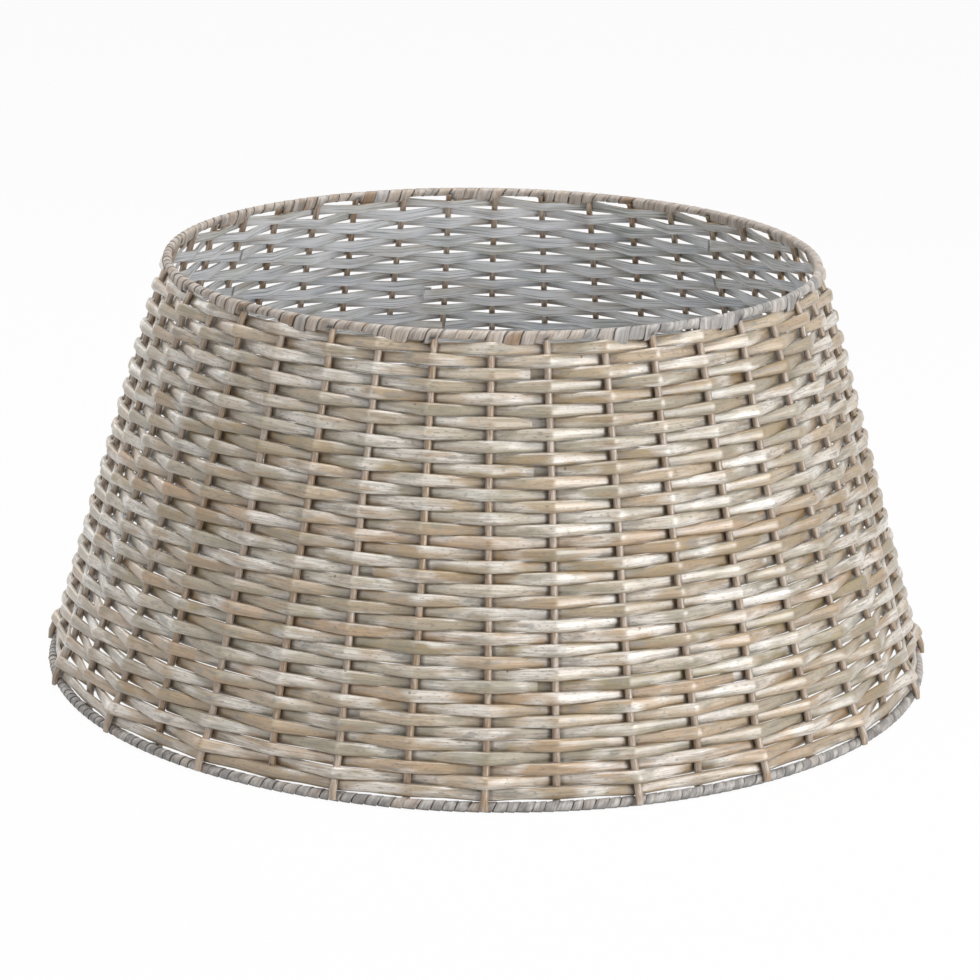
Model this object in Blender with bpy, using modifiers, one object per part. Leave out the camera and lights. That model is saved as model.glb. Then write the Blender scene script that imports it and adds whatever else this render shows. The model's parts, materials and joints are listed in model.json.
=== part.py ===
"""A woven collar for the foot of a christmas tree.

Strips of split willow are woven round forty upright stakes into a truncated cone that is open at
both ends. A wire hoop, lapped with willow, stiffens its foot and another stiffens its mouth.
Lengths are in metres and +Z is up. The collar stands on z = 0, centred on the Z axis, and its first
stake stands at the front, which faces -Y.
"""
import math

import bpy
from mathutils import Vector

# Overall form: the hoops are measured at the middle of their wire.
overall_height = 0.300
base_hoop_diameter = 0.634
top_hoop_diameter = 0.463

# Wire hoops and the willow lapped round them
hoop_wire_diameter = 0.004
binding_wall = 0.00135

# Upright stakes: bowed_rows is how far up from a hoop they are bent aside to pass it.
stake_count = 40
stake_diameter = 0.005
stake_foot_clearance = 0.001
bowed_rows = 3

# Split willow strips: every row starts at the same stake, at the collar's left side.
strip_width = 0.0072
strip_thickness = 0.0032
strip_crown_share = 0.55
row_gap = 0.0005
strand_count = 16
strand_tail = 0.006
row_start_stake = 30

# Room left between pieces that touch, and between a strip and the stake that it bends round
fit_clearance = 0.0003
weave_clearance = 0.0005

# Faces round a hoop's section, a lapping's section and a stake
wire_sides = 6
binding_sides = 8
stake_bevel_resolution = 1

# Finishes: sRGB colour, roughness, metallic
outer_willow = ((0.70, 0.63, 0.54), 0.55, 0.0)
stake_willow = ((0.66, 0.57, 0.48), 0.60, 0.0)
lapping_willow = ((0.69, 0.65, 0.60), 0.60, 0.0)
galvanised_wire = ((0.55, 0.56, 0.57), 0.40, 1.0)

# What follows from the sizes above
stake_step = math.tau / stake_count
stake_radius = stake_diameter / 2
binding_diameter = hoop_wire_diameter + 2 * (fit_clearance + binding_wall)
binding_radius = binding_diameter / 2
binding_corner = binding_radius / math.cos(math.pi / binding_sides)
base_radius = base_hoop_diameter / 2
top_radius = top_hoop_diameter / 2
hoop_rise = overall_height - binding_diameter
lean = math.atan2(base_radius - top_radius, hoop_rise)
slant_length = math.hypot(base_radius - top_radius, hoop_rise)
row_start = binding_corner + fit_clearance
row_count = 2 * int((slant_length - 2 * row_start) // (2 * (strip_width + row_gap)))
row_pitch = (slant_length - 2 * row_start) / row_count
bow_length = row_start + bowed_rows * row_pitch
stake_foot_level = stake_foot_clearance + stake_radius * math.sin(lean)
hoop_standoff = binding_corner + fit_clearance + stake_radius
strip_standoff = stake_radius + weave_clearance + strip_thickness / 2


def clear_scene():
    """Empty the file, so that the script can be run again in the same window."""
    for thing in list(bpy.data.objects):
        bpy.data.objects.remove(thing, do_unlink=True)


def make_collection(name):
    """A collection linked to the scene."""
    collection = bpy.data.collections.new(name)
    bpy.context.scene.collection.children.link(collection)
    return collection


def make_material(name, finish):
    """A plain Principled material from a colour, a roughness and a metallic value."""
    colour, roughness, metallic = finish
    linear = [((c + 0.055) / 1.055) ** 2.4 for c in colour]
    material = bpy.data.materials.new(name)
    material.use_nodes = True
    shader = material.node_tree.nodes["Principled BSDF"]
    shader.inputs["Base Color"].default_value = (*linear, 1)
    shader.inputs["Roughness"].default_value = roughness
    shader.inputs["Metallic"].default_value = metallic
    return material


def stake_angle(number):
    """Where a stake stands round the collar, counted to the right from the front one."""
    return number * stake_step - math.pi / 2


def wall_point(angle, along, off):
    """A place on the wall: along its slant from the base hoop, and off it, outwards."""
    reach = base_radius - along * math.sin(lean) + off * math.cos(lean)
    height = binding_radius + along * math.cos(lean) + off * math.sin(lean)
    return Vector((reach * math.cos(angle), reach * math.sin(angle), height))


def stake_line(number):
    """A stake's bends, as distances along the wall and off it.

    An even stake runs down outside the base hoop and ends inside the top one. An odd stake does
    the opposite, and both are straight between their bows.
    """
    end_bow = bow_length * hoop_standoff / math.sqrt(bow_length ** 2 - hoop_standoff ** 2)
    straight = [(bow_length, 0), (slant_length - bow_length, 0)]
    if number % 2:
        return [(0, -end_bow)] + straight + [(slant_length, end_bow)]
    rise = stake_foot_level - binding_radius - hoop_standoff * math.sin(lean)
    foot = [(rise / math.cos(lean), hoop_standoff), (stake_radius, hoop_standoff)]
    return foot + straight + [(slant_length, -end_bow)]


def stake_lie(number, along):
    """How far off the wall a stake is at one height, and its slope there."""
    line = stake_line(number)
    for (low, low_off), (high, high_off) in zip(line, line[1:]):
        if along <= high:
            slope = (high_off - low_off) / (high - low)
            return low_off + (along - low) * slope, slope
    return line[-1][1], 0


def curve_object(name, places, tilts, home):
    """A curve that runs straight from each place to the next, with its own tilt at each."""
    data = bpy.data.curves.new(name, "CURVE")
    data.dimensions = "3D"
    data.twist_mode = "Z_UP"
    spline = data.splines.new("POLY")
    spline.points.add(len(places) - 1)
    for point, place, tilt in zip(spline.points, places, tilts):
        point.co = (*place, 1)
        point.tilt = tilt
    thing = bpy.data.objects.new(name, data)
    home.objects.link(thing)
    return thing


def section_guide(name, outline, home):
    """A flat closed outline that a strip or a lapping is swept from. It isn't a piece itself."""
    data = bpy.data.curves.new(name, "CURVE")
    spline = data.splines.new("POLY")
    spline.points.add(len(outline) - 1)
    for point, (across, up) in zip(spline.points, outline):
        point.co = (across, up, 0, 1)
    spline.use_cyclic_u = True
    guide = bpy.data.objects.new(name, data)
    guide.hide_render = True
    guide.display_type = "WIRE"
    home.objects.link(guide)
    return guide


def strip_outline():
    """A split strip's section: its flat side faces the collar's axis, its crown faces out."""
    back = strip_width / 2
    crown = back * strip_crown_share
    depth = strip_thickness / 2
    return [(-depth, back), (depth, crown), (depth, -crown), (-depth, -back)]


def binding_outline():
    """A lapping's section: a polygon that stands on one of its flat sides."""
    turn = math.tau / binding_sides
    corners = [-(side + 0.5) * turn for side in range(binding_sides)]
    return [(binding_corner * math.cos(a), binding_corner * math.sin(a)) for a in corners]


def make_stake(number, finish, home):
    """One round willow stake, bowed past the hoops at both ends."""
    angle = stake_angle(number)
    places = [wall_point(angle, along, off) for along, off in stake_line(number)]
    stake = curve_object(f"stake_{number + 1:02d}", places, [0] * len(places), home)
    stake.data.bevel_depth = stake_radius
    stake.data.bevel_resolution = stake_bevel_resolution
    stake.data.use_fill_caps = True
    stake.data.materials.append(finish)
    return stake


def strip_side(step):
    """Which side of its stake a strip is on at a crossing: 1 outside, -1 inside."""
    row, place = divmod(step, stake_count)
    return 1 if (row_start_stake + place + row) % 2 else -1


def crossing(step):
    """Where the weave's single path meets its next stake: angle, place, slope and bend.

    A row passes in front of one stake and behind the next. At the end of each turn the path
    climbs to the next row, and stays on one side for two stakes, which puts the rows in step.
    """
    row, place = divmod(step, stake_count)
    number = (row_start_stake + place) % stake_count
    side = strip_side(step)
    along = row_start + (row + 0.5) * row_pitch
    lie, slope = stake_lie(number, along)
    swing = side * (lie - stake_lie(number + 1, along)[0]) + 2 * strip_standoff
    bend = math.atan2(swing, (base_radius - along * math.sin(lean)) * stake_step)
    standoff = (stake_radius + weave_clearance) / math.cos(bend) + strip_thickness / 2
    off = lie + side * standoff * math.hypot(1, slope)
    return stake_angle(number), (along, off), slope, bend


def strand_breaks():
    """The crossings, behind a stake, at which one strand ends and the next begins."""
    total = row_count * stake_count
    breaks = [0]
    for strand in range(1, strand_count):
        step = round(strand * total / strand_count)
        if strip_side(step) > 0:
            step += 1
        breaks.append(step)
    return breaks + [total - 1]


def place_on_path(step, distance):
    """A place on the path, a short way round from a crossing, and the strip's tilt there."""
    angle, (along, off), slope, bend = crossing(step)
    reach = wall_point(0, along, off).x
    return wall_point(angle + distance / reach, along, off), math.atan(slope) - lean


def butt(step):
    """How far a strand's end stops short of the stake's middle, to clear the next one's end."""
    return fit_clearance / 2 + strip_thickness / 2 * math.sin(crossing(step)[3])


def make_strand(number, stops, guide, finish, home):
    """A strip woven through its stops, each a crossing and a distance past it."""
    places, tilts = zip(*[place_on_path(step, distance) for step, distance in stops])
    strand = curve_object(f"weaver_{number + 1:02d}", places, tilts, home)
    strand.data.bevel_mode = "OBJECT"
    strand.data.bevel_object = guide
    strand.data.use_fill_caps = True
    strand.data.materials.append(finish)
    return strand


def make_weave(finish, home, guides):
    """All the strands, from the first row above the base hoop to the last below the mouth.

    Each is butted to the next behind a stake, and the two outer ends run a little past theirs.
    """
    guide = section_guide("strip_section", strip_outline(), guides)
    breaks = strand_breaks()
    for number, (first, last) in enumerate(zip(breaks, breaks[1:])):
        stops = [(step, 0) for step in range(first + 1, last)]
        head = [(first, butt(first))] if number else [(first, -strand_tail), (first, 0)]
        tail = [(last, -butt(last))]
        if number == strand_count - 1:
            tail = [(last, 0), (last, strand_tail)]
        make_strand(number, head + stops + tail, guide, finish, home)


def make_hoop(name, radius, height, finish, home):
    """A closed wire hoop."""
    bpy.ops.mesh.primitive_torus_add(
        major_segments=stake_count, minor_segments=wire_sides, location=(0, 0, height),
        major_radius=radius, minor_radius=hoop_wire_diameter / 2)
    hoop = bpy.context.object
    hoop.name = name
    hoop.data.name = name
    hoop.data.materials.append(finish)
    hoop.data.shade_smooth()
    for collection in list(hoop.users_collection):
        collection.objects.unlink(hoop)
    home.objects.link(hoop)
    return hoop


def make_binding(name, radius, height, guide, finish, home):
    """Willow lapped round a hoop: a pipe that goes all the way round, its ends butted behind."""
    half_gap = fit_clearance / 2 / radius
    turns = [step * stake_step for step in range(1, stake_count)]
    angles = [math.pi / 2 + turn for turn in [half_gap] + turns + [math.tau - half_gap]]
    places = [Vector((radius * math.cos(a), radius * math.sin(a), height)) for a in angles]
    binding = curve_object(name, places, [0] * len(places), home)
    binding.data.bevel_mode = "OBJECT"
    binding.data.bevel_object = guide
    binding.data.materials.append(finish)
    wall = binding.modifiers.new("wall", "SOLIDIFY")
    wall.thickness = binding_wall
    wall.offset = -1
    wall.use_even_offset = True
    return binding


def make_collar():
    """Build every piece of the collar in its own collection."""
    clear_scene()
    home = make_collection("christmas_tree_collar")
    guides = make_collection("guides")
    stake_finish = make_material("stake_willow", stake_willow)
    for number in range(stake_count):
        make_stake(number, stake_finish, home)
    make_weave(make_material("split_willow", outer_willow), home, guides)
    wire_finish = make_material("galvanised_wire", galvanised_wire)
    lapping_finish = make_material("lapping_willow", lapping_willow)
    guide = section_guide("binding_section", binding_outline(), guides)
    top_level = overall_height - binding_radius
    for place, radius, level in (("base", base_radius, binding_radius),
                                 ("top", top_radius, top_level)):
        make_hoop(f"{place}_hoop", radius, level, wire_finish, home)
        make_binding(f"{place}_binding", radius, level, guide, lapping_finish, home)


make_collar()
print("rows", row_count, "pitch", round(row_pitch, 5), "lean", round(math.degrees(lean), 2))
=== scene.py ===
# %% [markdown]
# # The looks of a woven christmas tree collar
#
# The collar is a basket without a bottom. Strips of split willow run in and out round forty upright
# rods, and a wire hoop lapped with willow skein stiffens its foot and its mouth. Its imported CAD
# model already has every piece in the right place. This script dresses that model: it keeps the
# model's sizes and models each strip, rod and lapping again with the detail that the eye expects.

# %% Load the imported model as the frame
import json
import math
import random

import bpy
from mathutils import Matrix, Vector, noise

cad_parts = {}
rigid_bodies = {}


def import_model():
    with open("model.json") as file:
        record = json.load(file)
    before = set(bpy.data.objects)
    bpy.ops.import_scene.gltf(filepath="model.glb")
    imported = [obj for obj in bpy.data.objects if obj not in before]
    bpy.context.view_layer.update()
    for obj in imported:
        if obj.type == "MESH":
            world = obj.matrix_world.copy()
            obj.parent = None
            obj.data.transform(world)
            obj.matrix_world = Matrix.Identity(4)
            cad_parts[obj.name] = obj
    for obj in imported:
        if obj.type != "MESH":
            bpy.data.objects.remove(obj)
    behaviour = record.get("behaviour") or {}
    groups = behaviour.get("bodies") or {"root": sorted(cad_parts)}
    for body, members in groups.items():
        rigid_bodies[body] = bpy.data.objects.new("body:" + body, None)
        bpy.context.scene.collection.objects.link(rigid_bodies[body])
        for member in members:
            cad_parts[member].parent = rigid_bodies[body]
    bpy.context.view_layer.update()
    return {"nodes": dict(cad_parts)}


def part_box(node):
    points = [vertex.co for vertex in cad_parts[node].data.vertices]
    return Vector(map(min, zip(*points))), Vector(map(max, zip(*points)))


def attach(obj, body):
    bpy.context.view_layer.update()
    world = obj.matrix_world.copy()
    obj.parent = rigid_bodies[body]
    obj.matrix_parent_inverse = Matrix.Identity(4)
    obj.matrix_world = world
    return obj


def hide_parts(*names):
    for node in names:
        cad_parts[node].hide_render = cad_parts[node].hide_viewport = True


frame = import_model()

# %% [markdown]
# ## Sizes
#
# A weave is all repetition, so a few sizes settle it. The hoops' places come from the packed
# model's own boxes. What the model can't tell, such as how wide a willow strip is where it crosses
# a rod, is named here in metres.

# %% Read the hoops and work out the wall between them
wire_diameter = 0.004
rod_diameter = 0.005
row_count = 38

foot_low, foot_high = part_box("base_hoop")
mouth_low, mouth_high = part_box("top_hoop")
foot_radius = (foot_high.x - foot_low.x - wire_diameter) / 2
mouth_radius = (mouth_high.x - mouth_low.x - wire_diameter) / 2
foot_level = (foot_low.z + foot_high.z) / 2
mouth_level = (mouth_low.z + mouth_high.z) / 2
lean = math.atan2(foot_radius - mouth_radius, mouth_level - foot_level)
slant = math.hypot(foot_radius - mouth_radius, mouth_level - foot_level)

rod_nodes = sorted(name for name in frame["nodes"] if name.startswith("stake_"))
strip_nodes = sorted(name for name in frame["nodes"] if name.startswith("weaver_"))
rod_count = len(rod_nodes)
rod_step = math.tau / rod_count
rod_radius = rod_diameter / 2
lapping_radius = foot_level
print("rods", rod_count, "lean", round(math.degrees(lean), 2), "slant", round(slant, 4))

# %% [markdown]
# ## Places on the wall
#
# Every piece is placed by three plain measures: the angle round the collar, how far up the slanting
# wall it is, and how far it stands off the wall. One function turns these into a point.

# %% Find a point on the wall
def wall_point(angle, along, off):
    """A point at an angle round the collar, a distance up its slant, and a distance off it."""
    reach = foot_radius - along * math.sin(lean) + off * math.cos(lean)
    height = foot_level + along * math.cos(lean) + off * math.sin(lean)
    return Vector((reach * math.cos(angle), reach * math.sin(angle), height))


print("right end of the mouth's hoop:", *(round(c, 3) for c in wall_point(0, slant, 0)))

# %% [markdown]
# ## The rods' bends
#
# The rods are numbered to the right, from 0 at the front. They stand straight in the wall and bow
# aside to pass the hoops. An even rod runs down outside the foot's hoop and ends close against its
# lapping, and its top is tied into the mouth's lapping from inside. An odd rod ends inside the
# foot's hoop, and its top comes up outside and dives under the mouth's lapping. No rod in a real
# basket stands exactly in its place, so each one wanders a little.

# %% Name the rods' sizes
foot_margin = 0.0042
mouth_margin = 0.0064
row_pitch = (slant - foot_margin - mouth_margin) / row_count
bow_rows = 3
bow_length = foot_margin + bow_rows * row_pitch
hoop_pass = 0.0065
foot_tuck = 0.0046
mouth_tuck = 0.0014
rod_foot_level = 0.0033
top_bend, top_dive, top_end = 0.010, 0.004, 0.001
dive_depth = 0.001
rod_wander = math.radians(0.9)
rod_apart, rod_bends, rod_seed = 7.31, 1.3, 4.2
print("row pitch in mm:", round(row_pitch * 1000, 2))


# %% Describe the rods' lines
def drift(*place):
    """Smooth noise at a place with three coordinates, between -1 and 1."""
    return noise.noise(Vector(place))


def rod_angle(number, along):
    """Where a rod is round the collar at one height, counted to the right from the front one."""
    number = number % rod_count
    wander = rod_wander * drift(number * rod_apart, along / slant * rod_bends, rod_seed)
    return number * rod_step - math.pi / 2 + wander


def rod_line(number):
    """A rod's bends, as distances up the wall and off it."""
    foot_low_end = (rod_foot_level - foot_level) / math.cos(lean) - hoop_pass * math.tan(lean)
    straight = [(bow_length, 0), (slant - bow_length, 0)]
    if number % 2:
        top = [(slant - top_bend, mouth_tuck), (slant - top_dive, -dive_depth),
               (slant - top_end, -mouth_tuck)]
        return [(0, -hoop_pass)] + straight + top
    foot = [(foot_low_end, foot_tuck), (rod_radius, hoop_pass)]
    return foot + straight + [(slant - top_bend, -mouth_tuck), (slant - top_dive, -mouth_tuck)]


def rod_lie(number, along):
    """How far off the wall a rod is at one height, and its slope there."""
    line = rod_line(number)
    for (low, low_off), (high, high_off) in zip(line, line[1:]):
        if along <= high:
            slope = (high_off - low_off) / (high - low)
            return low_off + (along - low) * slope, slope
    return line[-1][1], 0


print("an even rod's foot is", round(-rod_line(0)[0][0] * 1000, 1), "mm below the hoop's middle")

# %% [markdown]
# ## Sweeping a shape along a path
#
# Strips and rods are long things with one section, so each starts as a curve: its points are the
# path, and a small closed outline is its bevel object. Converted to a mesh it keeps a UV map that
# counts rings and corners. The helper stretches that map to real metres, so that a grain drawn on
# it has the same size on every piece.

# %% Set up a workbench for the guides
workbench = bpy.data.collections.new("workbench")
bpy.context.scene.collection.children.link(workbench)


def pick(*things):
    """Select only these objects, the first one active."""
    bpy.ops.object.select_all(action="DESELECT")
    for thing in things:
        thing.select_set(True)
    bpy.context.view_layer.objects.active = things[0]


def guide_curve(name, places, dimensions="3D", closed=True):
    """A curve on the workbench that runs straight from place to place."""
    data = bpy.data.curves.new(name, "CURVE")
    data.dimensions = dimensions
    data.twist_mode = "Z_UP"
    spline = data.splines.new("POLY")
    spline.points.add(len(places) - 1)
    for point, place in zip(spline.points, places):
        point.co = (*place, 1)
    spline.use_cyclic_u = closed
    curve = bpy.data.objects.new(name, data)
    workbench.objects.link(curve)
    return curve


print("workbench ready:", workbench.name)


# %% Sweep an outline along a path
def sweep(name, guide, stops):
    """A mesh swept along stops, each a place, a tilt and a scale of the outline."""
    piece = guide_curve(name, [place for place, _, _ in stops], closed=False)
    piece.data.bevel_mode = "OBJECT"
    piece.data.bevel_object = guide
    piece.data.use_fill_caps = True
    for point, (_, tilt, scale) in zip(piece.data.splines[0].points, stops):
        point.tilt = tilt
        point.radius = scale
    pick(piece)
    bpy.ops.object.convert(target="MESH")
    return bpy.context.object


def measure_uv(piece, stops, girth, start):
    """Stretch a swept piece's UV map to metres, along it from a start and round its section."""
    travelled = [start]
    for (before, _, _), (after, _, _) in zip(stops, stops[1:]):
        travelled.append(travelled[-1] + (after - before).length)
    for corner in piece.data.uv_layers[0].data:
        ring = round(corner.uv.x * (len(stops) - 1))
        corner.uv = (travelled[ring], corner.uv.y * girth)


print("ready to sweep")

# %% [markdown]
# ## The path of the weave
#
# One strip passes outside a rod and inside the next, and in the row above it is the other way
# round. The whole weave is a single path that climbs one row at each turn, behind the left side. It
# could be a wavy ring copied up the wall, but then every row would be alike. Here each crossing is
# worked out by itself, from its own rod, so that every strip follows its rods' wandering and lies a
# little differently from the next: tilted, narrower or standing off by a hair. The last rows are
# pushed up tight under the mouth's lapping.

# %% Name the weave's sizes
first_rod = 30
strip_width = 0.0088
strip_thickness = 0.0025
bend_reach = 0.0020
weave_gap = 0.0002
row_wander = 0.0007
row_bends, row_apart = 3, 0.3
last_row_lift = 0.0014
lifted_rows = 3
lean_jitter = math.radians(4.5)
width_jitter = 0.05
stand_jitter = 0.0003

fate = random.Random(12)
jitters = [(fate.gauss(0, lean_jitter), fate.uniform(-width_jitter, width_jitter),
            fate.uniform(0, stand_jitter)) for step in range(row_count * rod_count)]
print("crossings in the weave:", len(jitters))


# %% Find the path's corner at a crossing
def side_of(step):
    """Which side of its rod the path is on at a crossing: 1 outside, -1 inside."""
    row, place = divmod(step, rod_count)
    return 1 if (first_rod + place + row) % 2 else -1


def weave_corner(step):
    """The corner of the path at a crossing: its place, the strip's tilt and its scale."""
    row, place = divmod(step, rod_count)
    number = (first_rod + place) % rod_count
    tilt, width, stand = jitters[step % len(jitters)]
    along = foot_margin + (row + 0.5) * row_pitch
    angle = rod_angle(number, along)
    along += row_wander * drift(row_bends * math.cos(angle), row_bends * math.sin(angle),
                                row * row_apart)
    along += last_row_lift * max(0, 1 - max(row_count - 1 - row, 0) / lifted_rows)
    lie, slope = rod_lie(number, along)
    rod_gap = (foot_radius - along * math.sin(lean)) * rod_step
    bend = math.atan2(rod_diameter + strip_thickness, rod_gap)
    standoff = (rod_radius + strip_thickness / 2) / math.cos(bend) + weave_gap + stand
    standoff += bend_reach * math.sin(bend) / 2
    place = wall_point(angle, along, lie + side_of(step) * standoff)
    return place, math.atan(slope) - lean + tilt, 1 + width


crossing_gap = (weave_corner(1)[0] - weave_corner(0)[0]).length
print("from crossing to crossing in mm:", round(crossing_gap * 1000, 1))

# %% [markdown]
# ## Bending a strip round the rods
#
# A split willow strip is stiff: it runs straight from rod to rod and bends only where it crosses
# one, within a few millimetres. A smooth curve through the crossings would make it look like rope.
# So the path keeps its sharp corners, and each is rounded with a short curve. Where two rows pass
# each other between the rods they press together, and the strips are drawn a little narrower there.

# %% Round the corners
bend_shares = (0, 0.25, 0.5, 0.75, 1)
half_bend = len(bend_shares) // 2
# Places along the straight from bend to bend, and the share of its width that a strip has there.
strip_squeezes = ((0.05, 1.0), (0.09, 0.99), (0.25, 0.93), (0.5, 0.86),
                  (0.75, 0.93), (0.91, 0.99), (0.95, 1.0))


def bezier(a, b, c, t):
    """A point on the short curve that rounds the corner b between a and c."""
    return a.lerp(b, t).lerp(b.lerp(c, t), t)


def strip_stops(first, last, start_gap, end_gap):
    """The stops of one strip, from a crossing to a later one, less a gap at each end."""
    corners = [weave_corner(step) for step in range(first - 1, last + 2)]
    stops = []
    for before, here, after in zip(corners, corners[1:], corners[2:]):
        back = (before[0] - here[0]).normalized() * bend_reach + here[0]
        ahead = (after[0] - here[0]).normalized() * bend_reach + here[0]
        for t in bend_shares:
            stops.append((bezier(back, here[0], ahead, t), here[1], here[2]))
        far = (here[0] - after[0]).normalized() * bend_reach + after[0]
        for t, squeeze in strip_squeezes:
            stops.append((ahead.lerp(far, t), here[1] + (after[1] - here[1]) * t,
                          (here[2] + (after[2] - here[2]) * t) * squeeze))
    whole = stops[half_bend:-half_bend - len(strip_squeezes)]
    return trim(whole, start_gap, end_gap)


def trim(stops, start_gap, end_gap):
    """Stops cut back by a gap at each end. A negative gap lengthens the end instead."""
    for gap in (start_gap, end_gap):
        while gap > (stops[1][0] - stops[0][0]).length:
            gap -= (stops[1][0] - stops[0][0]).length
            stops = stops[1:]
        heading = (stops[1][0] - stops[0][0]).normalized()
        stops = [(stops[0][0] + heading * gap, *stops[0][1:])] + stops[1:]
        stops = stops[::-1]
    return stops


print("stops from one crossing to the next:", len(bend_shares) + len(strip_squeezes))

# %% [markdown]
# ## Where one strip ends and the next begins
#
# A split willow strip is little over a metre long, so a new one is laid in every thirty crossings
# or so, behind a rod. At most joins both ends stop behind the rod and don't show. At an open one
# the strip on one side stops short in plain view, and the other strip's stub peeps out from behind
# the rod: on its left if the stub is the new strip's, on its right if it is the old one's. A few
# open joins are where the collar's front shows them, and the rest fall by chance, from a seeded
# source, so that each run weaves the same collar.

# %% Name the joins' sizes
strips_per_node = 3
open_share = 0.25
open_gap = 0.0115
stub_length = 0.018
stub_sink = 0.0019
butt_gap = 0.0012
join_shift = 0.12
join_space = 8
# Row and rod of each join that the front shows, and its stub's side: -1 left, 1 right.
seen_joins = {(27, 1): -1, (9, 1): -1, (6, -2): 1, (35, 1): -1,
              (31, 0): -1, (16, 3): 1, (8, 4): -1}

total_steps = row_count * rod_count


def hidden_step(step):
    """This crossing if it is inside a rod, otherwise the next one."""
    return step + 1 if side_of(step) > 0 else step


def step_of(row, number):
    """The crossing at a row and a rod."""
    return row * rod_count + (number - first_rod) % rod_count


print("joins seen from the front:", len(seen_joins))

# %% Choose the joins
node_breaks = [0] + [hidden_step(round(n * total_steps / len(strip_nodes)))
                     for n in range(1, len(strip_nodes))] + [total_steps - 1]
open_joins = {hidden_step(step_of(*place)): side for place, side in seen_joins.items()}
joins = []
for low, high in zip(node_breaks, node_breaks[1:]):
    middle = [hidden_step(round(low + (high - low) * (n + fate.uniform(-join_shift, join_shift))
                                / strips_per_node)) for n in range(1, strips_per_node)]
    known = [step for step in open_joins if low < step < high]
    middle = [step for step in middle if all(abs(step - other) > join_space for other in known)]
    for step in middle:
        if fate.random() < open_share:
            open_joins[step] = fate.choice((-1, 1))
    joins.append([low] + sorted(middle + known) + [high])
print("strips", sum(len(stops) - 1 for stops in joins), "open joins", len(open_joins))

# %% [markdown]
# ## Colours
#
# Colours are picked as sRGB hex values, as a colour picker shows them, and one function turns them
# into the linear values that a shader works with. One more function adds a node to a material with
# its settings and its links, which keeps every material readable as a list. A few short ones build
# on it, for what the finishes share: attributes, ranges, ramps, covering colours and relief.

# %% Turn hex colours into linear ones
def hex_colour(code):
    """A colour such as #A0B0C0 as linear red, green, blue and alpha, by the sRGB curve."""
    channels = [int(code[i:i + 2], 16) / 255 for i in (1, 3, 5)]
    return [c / 12.92 if c <= 0.04045 else ((c + 0.055) / 1.055) ** 2.4 for c in channels] + [1]


print("the middle grey #808080 is", round(hex_colour("#808080")[0], 3), "in linear light")


# %% Start a material and add a node to it
def new_material(name):
    """A material with a Principled shader, and its node tree and shader."""
    material = bpy.data.materials.new(name)
    material.use_nodes = True
    return material, material.node_tree, material.node_tree.nodes["Principled BSDF"]


def feed(tree, node, inputs):
    """Give a node its inputs. Each is a value or another node's output."""
    for name, value in inputs.items():
        if isinstance(value, bpy.types.NodeSocket):
            tree.links.new(value, node.inputs[name])
        else:
            node.inputs[name].default_value = value


def add(tree, kind, inputs, stops=None, **settings):
    """Add a node with its settings and its inputs. Stops colour a ramp."""
    node = tree.nodes.new(kind)
    for name, value in settings.items():
        setattr(node, name, value)
    feed(tree, node, inputs)
    if stops:
        band = node.color_ramp
        while len(band.elements) < len(stops):
            band.elements.new(0.5)
        for element, (place, code) in zip(band.elements, stops):
            element.position = place
            element.color = hex_colour(code)
    return node


print("ready to add nodes")


# %% Helpers that every finish shares
def marked(tree, name):
    """An attribute of the piece."""
    return add(tree, "ShaderNodeAttribute", {}, attribute_name=name).outputs["Fac"]


def remap(tree, value, start=0, end=1, low=0, high=1):
    """A value's range from start to end, stretched to one from low to high."""
    return add(tree, "ShaderNodeMapRange", {"Value": value, "From Min": start, "From Max": end,
               "To Min": low, "To Max": high}).outputs["Result"]


def combine(tree, operation, a, b):
    """Two values put together by a sum or a comparison."""
    return add(tree, "ShaderNodeMath", {0: a, 1: b}, operation=operation).outputs[0]


def ramp(tree, value, stops):
    """The colour that a value from 0 to 1 has on a ramp."""
    return add(tree, "ShaderNodeValToRGB", {"Fac": value}, stops=stops).outputs["Color"]


def cover(tree, share, colour, code):
    """A colour with a share of another one laid over it."""
    return add(tree, "ShaderNodeMix", {0: share, 6: colour, 7: hex_colour(code)},
               data_type="RGBA").outputs[2]


def relief(tree, shader, height, depth):
    """Raise a pattern on the surface by up to half of a depth in metres."""
    bump = add(tree, "ShaderNodeBump", {"Height": height, "Strength": 0.5, "Distance": depth})
    tree.links.new(bump.outputs["Normal"], shader.inputs["Normal"])


print("ready to make finishes")

# %% [markdown]
# ## Patterns that run with the willow
#
# Everything on a willow strip runs with its length: its fibres, its stains, the wash that was wiped
# along it. So the patterns are noise drawn on the piece's own UV map, which is in metres, and each
# is given by its size along and across in millimetres. Willow's fibres are about a fifth of a
# millimetre across, too fine for the picture, so they are drawn from half a millimetre to one. A
# stained colour is built up in layers: each layer is a colour, the size of its patches, where in
# the noise they begin and are full, and how strong they are.

# %% Helpers for lengthwise patterns
seed_step = 3.7


def lengthwise(tree, along_mm, across_mm):
    """The piece's own UV map, scaled so that one unit is so many millimetres each way."""
    uv = add(tree, "ShaderNodeUVMap", {}, uv_map="UVMap")
    return add(tree, "ShaderNodeMapping", {"Vector": uv.outputs["UV"],
               "Scale": (1000 / along_mm, 1000 / across_mm, 1)}).outputs["Vector"]


def pattern(tree, size, reach, strength=1.0, seed=0.0, detail=2):
    """Noise of a size along and across, from 0 at the reach's start to the strength at its end."""
    cloud = add(tree, "ShaderNodeTexNoise", {"Vector": lengthwise(tree, *size), "W": seed,
                "Scale": 1, "Detail": detail}, noise_dimensions="4D")
    return remap(tree, cloud.outputs["Fac"], *reach, high=strength)


def stained(tree, colour, layers):
    """A colour with layers of patches over it."""
    for seed, (code, size, reach, strength) in enumerate(layers):
        colour = cover(tree, pattern(tree, size, reach, strength, seed * seed_step), colour, code)
    return colour


print("each layer's noise lies", seed_step, "from the last one's")


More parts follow.
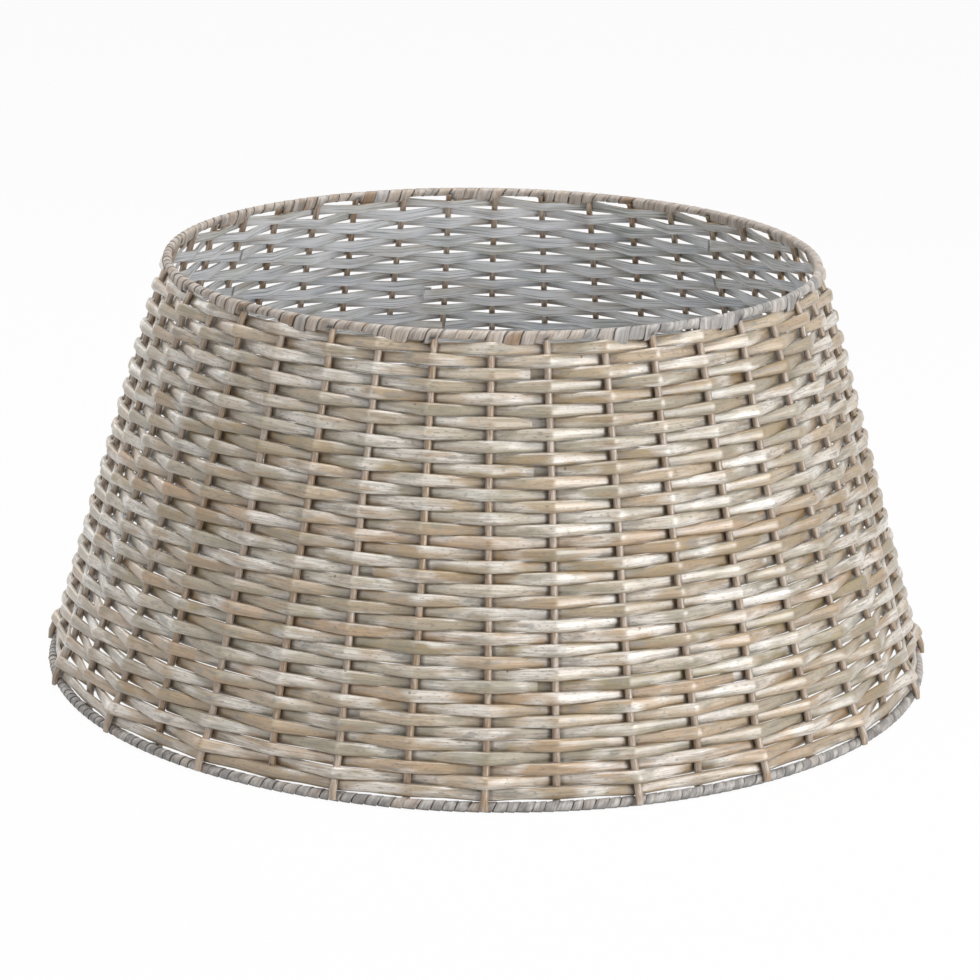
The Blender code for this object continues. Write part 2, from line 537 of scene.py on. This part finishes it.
# %% [markdown]
# ## Willow skin
#
# The outside of a strip is willow skin: smooth, slightly waxy and greywashed, so its colour drifts
# from tan over olive and pink to a bleached white. Each strip has its own tone, and along it the
# tone wanders within a few centimetres. Fine fibres run lengthwise, knots leave small dark dots,
# and here and there the wash has turned orange. Shade is painted along its edges, where it touches
# the rows above and below, most at the lower one, and in the crook where it dives in beside a rod.
# A photograph could be wrapped round the strips instead, but it would show the same spots on each
# of them, and noise never repeats. The wax is a clear coat over the wood. It gives a broad soft
# sheen, and that is why a bend that faces the lamp looks almost white.

# %% Mark the painted edge shade and the knots
crown_girth = strip_width + 2 * strip_thickness


def painted_edge_shade(tree, strength):
    """Painted shade up to a strength at a strip's lower edge, a little at its upper, 0 between."""
    sheet = lengthwise(tree, 1000, crown_girth * 1000)
    across = add(tree, "ShaderNodeSeparateXYZ", {"Vector": sheet}).outputs["Y"]
    edges = ramp(tree, across, [
        (0.0, "#505050"), (0.07, "#000000"), (0.72, "#000000"), (0.889, "#FFFFFF")])
    return remap(tree, edges, high=strength)


def knot_dots(tree, spacing_mm, dot_size, share):
    """Round dots scattered over the strip, 1 inside them. Only this share of the places has one."""
    cells = add(tree, "ShaderNodeTexVoronoi", {"Vector": lengthwise(tree, spacing_mm, spacing_mm),
                "Scale": 1})
    dots = remap(tree, cells.outputs["Distance"], dot_size, dot_size / 2)
    chosen = combine(tree, "LESS_THAN", cells.outputs["Color"], share)
    return combine(tree, "MULTIPLY", dots, chosen)


print("round the section in mm:", round(crown_girth * 1000, 1))


# %% Make the willow skin
def make_skin():
    """Greywashed skin of split willow."""
    material, tree, shader = new_material("greywashed_willow_skin")
    base = ramp(tree, marked(tree, "tone"), [
        (0.0, "#9D7A47"), (0.14, "#918054"), (0.28, "#B4926A"), (0.42, "#A18E6D"),
        (0.56, "#C1A888"), (0.70, "#9D9177"), (0.84, "#CCBFAA"), (1.0, "#AA8B5B")])
    colour = stained(tree, base, [
        ("#EBE5DC", (42, 12), (0.48, 0.60), 0.82),
        ("#776E4C", (34, 8), (0.54, 0.66), 0.66),
        ("#9A7442", (40, 4), (0.56, 0.67), 0.60),
        ("#BCA182", (28, 10), (0.56, 0.70), 0.40),
        ("#77736A", (16, 4), (0.59, 0.67), 0.60),
        ("#5C4D35", (24, 0.8), (0.44, 0.70), 0.58),
        ("#5C4D35", (4.0, 0.9), (0.57, 0.67), 0.58)])
    colour = cover(tree, knot_dots(tree, 12, 0.10, 0.4), colour, "#46371F")
    # Painted shade: darker in the crook beside a rod and along the edges, most at the lower one.
    crook_shade = combine(tree, "MULTIPLY", marked(tree, "crook_shade"), 0.6)
    painted_shade = combine(tree, "MAXIMUM", crook_shade, painted_edge_shade(tree, 0.8))
    colour = cover(tree, painted_shade, colour, "#3B2E22")
    fibres = pattern(tree, (22, 0.7), (0.3, 0.7), seed=11.0, detail=3)
    rough = remap(tree, fibres, low=0.34, high=0.46)
    relief(tree, shader, fibres, 0.0002)
    feed(tree, shader, {"Base Color": colour, "Roughness": rough, "IOR": 1.6,
                        "Specular IOR Level": 1.0, "Coat Weight": 1.0, "Coat Roughness": 0.32})
    return material


willow_skin = make_skin()
print(willow_skin.name, "has", len(willow_skin.node_tree.nodes), "nodes")

# %% [markdown]
# ## Split face
#
# The inside of a strip is bare wood where the willow was split: flat, matt, and weathered to a
# bluish grey, with its fibres torn open into long fine lines. It is its own material, without a
# coat, because a rough dry face scatters light evenly and has no sheen.

# %% Make the split face
def make_split_face():
    """Bare split wood, weathered grey."""
    material, tree, shader = new_material("weathered_split_willow")
    base = ramp(tree, marked(tree, "tone"), [
        (0.0, "#DDE0E4"), (0.25, "#BFC4BA"), (0.5, "#F0F0F1"), (0.75, "#CBD0D6"),
        (1.0, "#E4DFD2")])
    colour = stained(tree, base, [
        ("#F2F3F6", (60, 20), (0.43, 0.57), 0.80),
        ("#B5A995", (40, 14), (0.53, 0.66), 0.60),
        ("#98A193", (70, 14), (0.56, 0.68), 0.55),
        ("#F8F9FB", (60, 1.6), (0.47, 0.60), 0.65),
        ("#595D5F", (40, 0.9), (0.50, 0.66), 0.60)])
    relief(tree, shader, pattern(tree, (60, 1.0), (0.35, 0.75), seed=5.0, detail=3), 0.0003)
    feed(tree, shader, {"Base Color": colour, "Roughness": 0.65, "IOR": 1.5})
    return material


split_face = make_split_face()
print(split_face.name, "has", len(split_face.node_tree.nodes), "nodes")

# %% [markdown]
# ## The strips
#
# A rod split in half is a D in section: a flat back and a crowned skin. The crown is not quite a
# half circle, it is flatter on top, so its outline is a rounded square's. A flat ribbon given some
# thickness would be quicker, but the rounded skin is what catches the light along each strip.

# %% Draw the strip's section
crown_points = 9
crown_power = 2 / 3


def crown_outline():
    """A split strip's section: out from the wall, and up."""
    points = []
    for n in range(crown_points):
        turn = math.pi / 2 - math.pi * n / (crown_points - 1)
        up = math.copysign(abs(math.sin(turn)) ** crown_power, math.sin(turn)) * strip_width / 2
        points.append((strip_thickness * (abs(math.cos(turn)) ** crown_power - 0.5), up, 0))
    return points


crown = guide_curve("split_strip_section", crown_outline(), dimensions="2D")
back_start = (crown_points - 1) / crown_points
back_stretch = crown_points * strip_width / crown_girth
print("strip", strip_width * 1000, "mm wide,", strip_thickness * 1000, "mm thick")


# %% [markdown]
# ## Crooks
#
# Where a strip dives in behind a rod there is a narrow crook beside that rod, and shade is painted
# into it. The crook is marked on the strip itself as an attribute, 1 in the crook and 0 elsewhere,
# and the skin's material reads it and darkens the skin there. So the painted shade stays where it
# belongs, however the collar is turned.

# %% Find how deep in a crook each stop is
crook_reach = 0.0040
crook_end = 0.0056


def crook_depths(stops, inside):
    """For each stop, 1 beside a rod that the strip passes inside of, and 0 away from it."""
    depths = []
    for place, _, _ in stops:
        nearest = min((place - corner).length for corner in inside)
        depths.append(min(max((crook_end - nearest) / (crook_end - crook_reach), 0), 1))
    return depths


print("a crook reaches", crook_end * 1000, "mm from its crossing")

# %% [markdown]
# ## Weaving
#
# Each strip is swept along its own path from join to join, and gets its own tone and its own
# stretch of grain. Its flat back gets the split face and the rest the skin. A sweep's UV map gives
# every side of the section the same share, so the back's share is stretched to its real width, or
# its grain would be six times too coarse. Then the strips that stand for one piece of the packed
# model are joined into one object, which takes that piece's place.

# %% Make one strip
crease_angle = math.radians(50)
grain_spread = 90


def give_tone(piece):
    """Give the whole piece one tone, by chance from 0 to 1."""
    tone = piece.data.attributes.new("tone", "FLOAT", "POINT")
    tone.data.foreach_set("value", [fate.random()] * len(piece.data.vertices))


def weave_strip(name, first, last):
    """One strip from join to join, with its tone, its UV map in metres and both its finishes."""
    gaps = {-1: (-stub_length, open_gap), 0: (butt_gap, butt_gap), 1: (open_gap, -stub_length)}
    start_gap = gaps[open_joins.get(first, 0)][0]
    end_gap = gaps[open_joins.get(last, 0)][1]
    stops = strip_stops(first, last, start_gap, end_gap)
    for place, gap in ((stops[0][0], start_gap), (stops[-1][0], end_gap)):
        if gap < 0:
            place -= Vector((place.x, place.y, 0)).normalized() * stub_sink
    strip = sweep(name, crown, stops)
    strip.data.materials.append(willow_skin)
    strip.data.materials.append(split_face)
    corners = strip.data.uv_layers[0].data
    for face in strip.data.polygons:
        round_section = [corners[i].uv.y for i in face.loop_indices]
        on_back = min(round_section) > (crown_points - 1.5) / crown_points
        face.material_index = 1 if on_back or max(round_section) == 0 else 0
        for i in face.loop_indices if on_back else []:
            corners[i].uv.y = back_start + (corners[i].uv.y - back_start) * back_stretch
    inside = [weave_corner(step)[0] for step in range(first, last + 1) if side_of(step) < 0]
    depths = crook_depths(stops, inside)
    rings = [round(corner.uv.x * (len(stops) - 1)) for corner in corners]
    measure_uv(strip, stops, crown_girth, fate.uniform(0, grain_spread))
    # Painted shade for the crook beside each rod, which the skin's material reads.
    crook_shade = strip.data.attributes.new("crook_shade", "FLOAT", "CORNER")
    crook_shade.data.foreach_set("value", [depths[ring] for ring in rings])
    give_tone(strip)
    return strip


print("an open join's stub is", stub_length * 1000, "mm long")

# %% Weave and join the strips
for node, stops in zip(strip_nodes, joins):
    number = node.split("_")[1]
    strips = [weave_strip(f"woven_strips_{number}", *ends) for ends in zip(stops, stops[1:])]
    pick(*strips)
    bpy.ops.object.join()
    bpy.ops.object.shade_smooth_by_angle(angle=crease_angle)
    bundle = bpy.context.object
    bundle.name = f"woven_strips_{number}"
    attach(bundle, "root")
    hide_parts(node)
print("last bundle has", len(bundle.data.polygons), "faces")

# %% [markdown]
# ## Rod willow
#
# The rods are thin round willow shoots, peeled and greywashed. Their colour is a pinkish tan, with
# lengthwise streaks, and orange brown where the wash didn't reach. They have the same wax as the
# strips, a little harder, so a thin bright line runs down the side that faces the lamp.

# %% Make the rod willow
def make_rod_willow():
    """Peeled willow rod under a thin grey wash."""
    material, tree, shader = new_material("greywashed_willow_rod")
    base = ramp(tree, marked(tree, "tone"), [
        (0.0, "#A08967"), (0.35, "#B7A28D"), (0.7, "#AC9780"), (1.0, "#98784C")])
    colour = stained(tree, base, [
        ("#DCD0C4", (14, 2.5), (0.46, 0.62), 0.65),
        ("#966B42", (16, 4), (0.52, 0.66), 0.50),
        ("#5C4531", (9, 0.7), (0.44, 0.70), 0.65)])
    relief(tree, shader, pattern(tree, (30, 0.7), (0.35, 0.75), seed=9.0, detail=3), 0.0002)
    feed(tree, shader, {"Base Color": colour, "Roughness": 0.42, "IOR": 1.5,
                        "Specular IOR Level": 0.8, "Coat Weight": 0.6, "Coat Roughness": 0.22})
    return material


rod_willow = make_rod_willow()
print(rod_willow.name, "has", len(rod_willow.node_tree.nodes), "nodes")

# %% [markdown]
# ## The rods
#
# A rod is a round section swept up its own line. A cylinder would do for a straight rod, but these
# bow aside for the hoops and taper, because willow is thicker at its foot. An even rod's foot is
# shaved flat, so that it hardly stands out from the lapping that it ends on. The top ends inside
# the mouth's lapping. On the real collar an odd rod's top also turns left in there, which is why
# the lapping is taller on that side.

# %% Draw a rod's section and path
rod_sides = 12
rod_taper = 0.08
foot_shave = 0.42
rod_stop_gap = 0.006
rod_easing = (-0.006, -0.003, 0, 0.003, 0.006)
rod_grain_spread = 50
turns = [-math.tau * n / rod_sides for n in range(rod_sides)]
circle = [(rod_radius * math.cos(turn), rod_radius * math.sin(turn), 0) for turn in turns]
rod_section = guide_curve("rod_section", circle, dimensions="2D")


def rod_stops(number):
    """A rod's path up the wall, with its corners eased over a short way."""
    line = rod_line(number)
    low, high = line[0][0], line[-1][0]
    count = round((high - low) / rod_stop_gap)
    stops = []
    for n in range(count + 1):
        along = low + (high - low) * n / count
        near = [rod_lie(number, min(max(along + shift, low), high))[0]
                for shift in rod_easing]
        taper = 1 + rod_taper * (0.5 - along / slant)
        stops.append((wall_point(rod_angle(number, along), along, sum(near) / len(near)), 0, taper))
    return stops


def shave_foot(rod, foot, angle):
    """Flatten the end of a rod at its foot towards the wall."""
    outward = wall_point(angle, 0, 1) - wall_point(angle, 0, 0)
    for vertex in rod.data.vertices:
        reach = vertex.co - foot
        if reach.length < rod_diameter:
            vertex.co -= outward * reach.dot(outward) * foot_shave


print("stops on the front rod:", len(rod_stops(0)))

# %% Stand the rods
for number, node in enumerate(rod_nodes):
    stops = rod_stops(number)
    rod = sweep(f"rod_{number + 1:02d}", rod_section, stops)
    if number % 2 == 0:
        shave_foot(rod, stops[0][0], rod_angle(number, 0))
    measure_uv(rod, stops, math.pi * rod_diameter, fate.uniform(0, rod_grain_spread))
    rod.data.materials.append(rod_willow)
    give_tone(rod)
    bpy.ops.object.shade_smooth_by_angle(angle=crease_angle)
    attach(rod, "root")
    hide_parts(node)
print("last rod has", len(rod.data.polygons), "faces")

# %% [markdown]
# ## Willow skein
#
# The lapping is skein, a willow strip shaved to a thin ribbon. It has dried to a light grey, its
# fibres run along the ribbon, and dirt has gathered in the seams between its turns. Where that dirt
# is comes from an attribute of the lapping, because only the lapping knows where its seams are. The
# same attribute also carries painted shade on the foot lapping's underside and in the mouth
# lapping's notches.

# %% Make the willow skein
def make_skein():
    """Thin shaved willow ribbon, dried light grey."""
    material, tree, shader = new_material("willow_skein")
    base = ramp(tree, marked(tree, "tone"), [
        (0.0, "#8E8C8A"), (0.3, "#ADA9A5"), (0.6, "#C1B3A7"), (0.8, "#CDBEAF"),
        (1.0, "#A58A70")])
    colour = stained(tree, base, [
        ("#E4DED8", (10, 8), (0.46, 0.60), 0.60),
        ("#7D7067", (9, 5), (0.54, 0.68), 0.50),
        ("#5A4E46", (12, 0.8), (0.46, 0.70), 0.50)])
    # Dark seams, plus painted shade under the foot lapping and in the mouth's notches.
    colour = cover(tree, marked(tree, "seam_dirt_and_shade"), colour, "#241F1C")
    relief(tree, shader, pattern(tree, (14, 0.7), (0.35, 0.7), seed=4.0, detail=3), 0.0002)
    feed(tree, shader, {"Base Color": colour, "Roughness": 0.5, "IOR": 1.5})
    return material


willow_skein = make_skein()
print(willow_skein.name, "has", len(willow_skein.node_tree.nodes), "nodes")

# %% [markdown]
# ## The lappings
#
# By hand, a lapping is wound: the ribbon goes round and round the hoop, and each turn lies against
# the last. In Blender the Screw modifier does just that. A short line of points, as wide as the
# ribbon, is screwed along a straight axis into one long coil. While the coil is straight it is easy
# to shape, and a Curve modifier then bends it round into the hoop. The alternative, a ring for each
# turn, would have no slant and no overlap. Here each turn lies with one edge over the last, so it
# steps down sharply at that edge.

# %% Name the ribbon's sizes
ribbon_places = (0.0, 0.05, 0.12, 0.35, 0.65, 0.9, 0.97, 1.0)
ribbon_heights = (-0.0007, -0.0003, 0.0, 0.0001, 0.0002, 0.0003, 0.0003, -0.0007)
ribbon_seams = (1.0, 0.9, 0.1, 0.0, 0.0, 0.0, 0.3, 1.0)
ribbon_shift = 0.0026
turn_steps = 14
points_per_rod = 8
hoop_points = rod_count * points_per_rod
weld_reach = 0.00005
ribbon_crease = math.radians(40)
edge_step = ribbon_heights[-2] - ribbon_heights[-1]
print("the ribbon's edge steps down", round(edge_step * 1000, 1), "mm")


# %% Make the path that a lapping is bent round
def smooth(low, high, value):
    """0 at and beyond low, 1 at and beyond high, and a smooth change between them."""
    share = min(max((value - low) / (high - low), 0), 1)
    return share * share * (3 - 2 * share)


def hoop_curve(name, radius, level):
    """The closed path that a lapping is bent round, starting behind the collar."""
    angles = [math.pi / 2 + math.tau * n / hoop_points for n in range(hoop_points)]
    return guide_curve(name, [(radius * math.cos(angle), radius * math.sin(angle), level)
                              for angle in angles])


print("a lapping is bent at", hoop_points, "points")

# %% [markdown]
# ## Winding the ribbon
#
# The coil gets three things for its finish. Its UV map is in metres along and across the ribbon.
# Its tone drifts from turn to turn between slate grey and tan, as the skein was cut from many rods,
# and one length of it, right of the front, is greyer than the rest. And its seams are marked: some
# are wide open and full of dirt, and at others the turns lie so tightly that the seam has nearly
# closed.

# %% Wind a ribbon into a coil
grey_start, grey_end, grey_edge = 0.55, 0.70, 0.02
grey_depth = 0.7
tone_drift, tone_bends, tone_seed = 0.65, 0.8, 1e4
seam_open, seam_least = 0.65, 0.05
seam_drift, seam_bends, seam_seed = 2.2, 1.7, 9.1
shift_bends, shift_seed = 0.6, 5.5
steady_length = 0.04


def wind(name, length, thickness, turns, warmth):
    """A ribbon wound into a straight coil along X, with its tone, its seams and its UV map."""
    pitch = length / turns
    edge = bpy.data.meshes.new(name)
    points = [(pitch * place, 0, thickness + height)
              for place, height in zip(ribbon_places, ribbon_heights)]
    edge.from_pydata(points, [(n, n + 1) for n in range(len(points) - 1)], [])
    coil = bpy.data.objects.new(name, edge)
    workbench.objects.link(coil)
    pick(coil)
    screw = coil.modifiers.new("turns", "SCREW")
    screw.axis = "X"
    screw.angle = -math.tau
    screw.screw_offset = pitch
    screw.iterations = turns
    screw.steps = screw.render_steps = turn_steps
    bpy.ops.object.modifier_apply(modifier="turns")
    mesh = coil.data
    tone = mesh.attributes.new("tone", "FLOAT", "POINT").data
    seam_dirt_and_shade = mesh.attributes.new("seam_dirt_and_shade", "FLOAT", "POINT").data
    sheet = mesh.uv_layers.new(name="UVMap").data
    for n in range(len(mesh.vertices)):
        row, across = divmod(n, len(ribbon_places))
        share = row / turn_steps / turns
        grey = smooth(grey_start - grey_edge, grey_start, share)
        grey *= smooth(grey_end + grey_edge, grey_end, share)
        wave = drift(row / turn_steps * tone_bends, thickness * tone_seed, 0)
        tone[n].value = min(max(warmth * (1 - grey_depth * grey) + tone_drift * wave, 0), 1)
        chance = drift(row / turn_steps * seam_bends, 0, seam_seed)
        open_seam = min(max(seam_open + seam_drift * chance, seam_least), 1)
        seam_dirt_and_shade[n].value = ribbon_seams[across] * open_seam
        shut = 1 - min(ribbon_heights[across], 0) * (1 - open_seam) / thickness
        mesh.vertices[n].co.yz = mesh.vertices[n].co.yz * shut
    for corner, loop in zip(sheet, mesh.loops):
        row, across = divmod(loop.vertex_index, len(ribbon_places))
        corner.uv = (row / turn_steps * math.tau * thickness, ribbon_places[across] * pitch)
    for vertex in mesh.vertices:
        steady = smooth(0, steady_length, vertex.co.x)
        steady *= smooth(0, steady_length, length - vertex.co.x)
        shift = drift(vertex.co.x / pitch * shift_bends, shift_seed, 0)
        vertex.co.x += ribbon_shift * steady * shift
    return coil


print("a coil's ends keep their place over", steady_length * 1000, "mm")


# %% Bend a coil round its hoop
def fit_hoop(coil, hoop, node):
    """Bend a straight coil round a hoop, close its seams, and put it in its node's place."""
    bend = coil.modifiers.new("bend", "CURVE")
    bend.object = hoop
    bend.deform_axis = "POS_X"
    pick(coil)
    bpy.ops.object.modifier_apply(modifier="bend")
    bpy.ops.object.mode_set(mode="EDIT")
    bpy.ops.mesh.select_all(action="SELECT")
    bpy.ops.mesh.remove_doubles(threshold=weld_reach)
    bpy.ops.mesh.normals_make_consistent(inside=False)
    bpy.ops.object.mode_set(mode="OBJECT")
    bpy.ops.object.shade_smooth_by_angle(angle=ribbon_crease)
    coil.data.materials.append(willow_skein)
    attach(coil, "root")
    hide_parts(node)
    print(coil.name, "has", len(coil.data.polygons), "faces")


# %% [markdown]
# ## The lapping at the foot
#
# The foot's lapping holds only the wire and, from inside, the ends of the odd rods. It is wound
# closely, about six turns from rod to rod, and it swells a little over each rod end that it holds.
# Its underside is painted darker with shade towards the floor.

# %% Lap the foot's hoop
foot_turns = rod_count * 6
knot_reach = 0.0032
knot_height = 0.0008
foot_underside_shade = 0.7
foot_warmth = 0.22
# Heights on the lapping, from -1 at its underside to 1 at its top.
underside_shade_band = (0, -0.9)
knot_band = (-0.5, 0.5)


def hoop_length(radius):
    """The length of the many-sided path round a hoop."""
    return hoop_points * 2 * radius * math.sin(math.pi / hoop_points)


def past_odd_rod(angle, along):
    """How far an angle is past the nearest odd rod at one height, in radians."""
    nearest = 2 * math.floor((angle + math.pi / 2) / rod_step / 2) + 1
    return (angle - rod_angle(nearest, along) + math.pi) % math.tau - math.pi


foot_length = hoop_length(foot_radius)
foot_thickness = lapping_radius - max(ribbon_heights)
foot_coil = wind("foot_lapping", foot_length, foot_thickness, foot_turns, foot_warmth)
seam_dirt_and_shade = foot_coil.data.attributes["seam_dirt_and_shade"].data
for vertex in foot_coil.data.vertices:
    # Painted shade: darker towards the underside, in the same attribute as the seams.
    painted_underside = foot_underside_shade * smooth(*underside_shade_band, vertex.co.z / lapping_radius)
    seam_dirt_and_shade[vertex.index].value = max(seam_dirt_and_shade[vertex.index].value, painted_underside)
    away = abs(past_odd_rod(math.pi / 2 + vertex.co.x / foot_radius, 0)) * foot_radius
    swell = knot_height * smooth(knot_reach, 0, away)
    swell *= smooth(*knot_band, vertex.co.z / lapping_radius)
    vertex.co.y *= 1 + swell / lapping_radius
    vertex.co.z *= 1 + swell / lapping_radius
fit_hoop(foot_coil, hoop_curve("foot_path", foot_radius, foot_level), "base_binding")

# %% [markdown]
# ## The lapping at the mouth
#
# The mouth's lapping is wound more loosely, and it also ties in the tops of the odd rods, which
# turn left along the hoop. There it is twice as tall, and further on it holds the wire alone and is
# thin again. Just left of an odd rod's top, where the rod turns, it sinks into a notch, and shade
# is painted into that notch. All this is done to the straight coil: its lower half is let down
# where a rod is tied in, by a slightly different amount at each turn.

# %% Find where the mouth's lapping ties in a rod
mouth_turns = rod_count * 7 // 2
mouth_lapping_radius = 0.0030
mouth_warmth = 0.7
tie_depth = 0.0036
tie_overlap = 0.0045
tie_slope = 0.0025
tie_slack = 0.4
notch_shift = 0.0012
notch_core = 0.0012
notch_reach = 0.0032
notch_depth = 0.3
notch_band = (0.5, -0.2)
tie_band = (0, 0.45)

ties = [(rod_angle(number, slant), rod_angle(number + 1, slant))
        for number in range(0, rod_count, 2)]


def tie_share(angle):
    """1 where the lapping also ties in a rod's turned top, 0 where it holds only the wire."""
    share = 0
    for start, end in ties:
        end += math.tau if end < start else 0
        turn = (angle - start + math.pi) % math.tau - math.pi
        past_start = turn * mouth_radius + tie_overlap
        before_end = (end - start - turn) * mouth_radius + tie_overlap / 2
        share = max(share, smooth(0, tie_slope, past_start) * smooth(0, tie_slope, before_end))
    return share


print("rods tied in at the mouth:", len(ties))

# %% Lap the mouth's hoop
mouth_length = hoop_length(mouth_radius)
mouth_coil = wind("mouth_lapping", mouth_length, mouth_lapping_radius, mouth_turns, mouth_warmth)
seam_dirt_and_shade = mouth_coil.data.attributes["seam_dirt_and_shade"].data
slack = [fate.uniform(-tie_slack, tie_slack) for turn in range(mouth_turns + 1)]
for vertex in mouth_coil.data.vertices:
    turn = vertex.index // len(ribbon_places) // turn_steps
    angle = math.pi / 2 + vertex.co.x / mouth_radius
    away = abs(past_odd_rod(angle, slant) + notch_shift / mouth_radius) * mouth_radius
    below = smooth(*notch_band, vertex.co.z / mouth_lapping_radius)
    notch = smooth(notch_reach, notch_core, away) * below
    # Painted shade: the notch is darkened, in the same attribute as the seams.
    seam_dirt_and_shade[vertex.index].value = max(seam_dirt_and_shade[vertex.index].value, notch)
    drop = tie_depth * smooth(*tie_band, -vertex.co.z / mouth_lapping_radius)
    drop *= tie_share(angle)
    drop *= 1 + slack[turn]
    vertex.co.y = vertex.co.y * (1 - notch_depth * notch) - drop * math.sin(lean)
    vertex.co.z = vertex.co.z * (1 - notch_depth * notch) - drop * math.cos(lean)
fit_hoop(mouth_coil, hoop_curve("mouth_path", mouth_radius, mouth_level), "top_binding")

# %% [markdown]
# ## The wire hoops
#
# The wires are wholly inside the lappings, so the model's own hoops stay as they are. They only get
# the finish of galvanised steel: metallic, dull, with the faint patches in which zinc sets.

# %% Finish the wires
material, tree, shader = new_material("galvanised_steel_wire")
place = add(tree, "ShaderNodeTexCoord", {}).outputs["Object"]
spangle = add(tree, "ShaderNodeTexVoronoi", {"Vector": place, "Scale": 400}).outputs["Distance"]
zinc = cover(tree, spangle, hex_colour("#9C9FA3"), "#B4B7BA")
feed(tree, shader, {"Base Color": zinc, "Metallic": 1, "Roughness": 0.42})
for node in ("base_hoop", "top_hoop"):
    hoop = frame["nodes"][node]
    hoop.data.materials.clear()
    hoop.data.materials.append(material)
print(material.name, "on both hoops")

# %% [markdown]
# ## Camera
#
# The photograph was taken from a little above the mouth with a long lens, so far lines hardly
# converge. The camera's distance and height are given in radii of the foot's hoop, because a
# photograph fixes only proportions, and its focal length in pixels of the square picture.

# %% Set up the camera
image_side = 980
focal_pixels = 3265
camera_back = 7.191 * foot_radius
camera_rise = 2.535 * foot_radius
camera_pitch = 0.2918
camera_roll = 0.0176
camera_yaw = -0.0003

view = bpy.data.cameras.new("camera")
view.sensor_width = 36
view.lens = view.sensor_width * focal_pixels / image_side
camera = bpy.data.objects.new("camera", view)
bpy.context.scene.collection.objects.link(camera)
camera.matrix_world = (Matrix.Translation((0, -camera_back, camera_rise + foot_level))
                       @ Matrix.Rotation(camera_yaw, 4, "Z")
                       @ Matrix.Rotation(math.pi / 2 - camera_pitch, 4, "X")
                       @ Matrix.Rotation(camera_roll, 4, "Z"))
bpy.context.scene.camera = camera
print("focal length", round(view.lens, 1), "mm, distance", round(camera_back, 2), "m")

# %% [markdown]
# ## Lamps
#
# The photograph's shadows tell where its lamps are. Right of the middle the dark crevices are on
# the rods' left, and left of the middle on their right, so a soft lamp stands at either side. The
# right one is the stronger, wide and low, because over a third of the collar the facets that mirror
# it are white over their whole height. The facets at the far left are white too, so a narrow lamp
# stands behind on that side. The strips' upper edges are bright, so there is light from above. A
# softbox here is a rectangular lamp, and its brightness is its surface's, whatever its size.

# %% Place the softboxes
aim_height = 0.15


def softbox(name, azimuth, height, distance, size, brightness):
    """A rectangular lamp, round to the right of the camera by an azimuth, aimed at the collar."""
    lamp = bpy.data.lights.new(name, "AREA")
    lamp.shape = "RECTANGLE"
    lamp.size, lamp.size_y = size
    lamp.energy = brightness * math.pi * size[0] * size[1]
    thing = bpy.data.objects.new(name, lamp)
    bpy.context.scene.collection.objects.link(thing)
    turn = math.radians(azimuth)
    place = Vector((distance * math.sin(turn), -distance * math.cos(turn), height))
    thing.location = place
    aim = Vector((0, 0, aim_height)) - place
    thing.rotation_euler = aim.to_track_quat("-Z", "Y").to_euler()


softbox("key", 51, 0.65, 2.0, (1.3, 0.8), 6.6)
softbox("fill", -34, 1.0, 2.0, (0.6, 1.0), 3.0)
softbox("rim", -128, 0.7, 2.0, (0.4, 0.8), 3.6)
softbox("top", 0, 2.6, 0.1, (2.0, 2.0), 4.4)

# %% [markdown]
# ## A white background
#
# Cut-out photographs stand on pure white. Lamps that make the floor white would bleach the collar
# as well, so only the camera's rays see the white, and reflections, which ought to mirror it. Light
# that bounces onto the collar stays at its plain level.

# %% Tell apart the rays that see white
def sees_white(tree):
    """1 for rays from the camera, a reflection or through a clear thing, 0 for bounced light."""
    path = add(tree, "ShaderNodeLightPath", {})
    seen = path.outputs["Is Camera Ray"]
    for other in ("Is Glossy Ray", "Is Transmission Ray"):
        seen = combine(tree, "MAXIMUM", seen, path.outputs[other])
    return seen


print("bounced light doesn't see the white")

# %% [markdown]
# ## Floor
#
# The floor is a sheet of pale paper. Seen directly it is nearly all white light with a small share
# of the real paper left in, and that share keeps the collar's soft shadow.

# %% Lay the floor
floor_radius = 14
floor_white = 0.96

bpy.ops.mesh.primitive_circle_add(vertices=64, radius=floor_radius, fill_type="NGON",
                                  location=(0, 0, 0))
floor = bpy.context.object
floor.name = "floor"
material, tree, shader = new_material("white_paper_floor")
feed(tree, shader, {"Base Color": hex_colour("#F2F2F2"), "Roughness": 0.9,
                    "Specular IOR Level": 0.1})
glow = add(tree, "ShaderNodeEmission", {"Color": (1, 1, 1, 1), "Strength": 1.0})
share = remap(tree, sees_white(tree), high=floor_white)
mixed = add(tree, "ShaderNodeMixShader", {0: share, 1: shader.outputs[0], 2: glow.outputs[0]})
tree.links.new(mixed.outputs[0], tree.nodes["Material Output"].inputs["Surface"])
floor.data.materials.append(material)
print("floor laid at height", floor.location.z)

# %% [markdown]
# ## World
#
# The world lights the collar faintly from all round, as a studio's walls do, and looks white.

# %% Light the world
world_light = 0.02

world = bpy.data.worlds.new("studio")
bpy.context.scene.world = world
world.use_nodes = True
tree = world.node_tree
level = remap(tree, sees_white(tree), low=world_light)
tree.nodes["Background"].inputs["Color"].default_value = (1, 1, 1, 1)
tree.links.new(level, tree.nodes["Background"].inputs["Strength"])
bpy.context.scene.view_settings.view_transform = "Standard"
print("world", world.name)

# %% [markdown]
# ## Finish
#
# The guide curves on the workbench have done their work.

# %% Clear the workbench and finish
for thing in list(workbench.objects):
    if thing.type == "CURVE":
        bpy.data.objects.remove(thing)
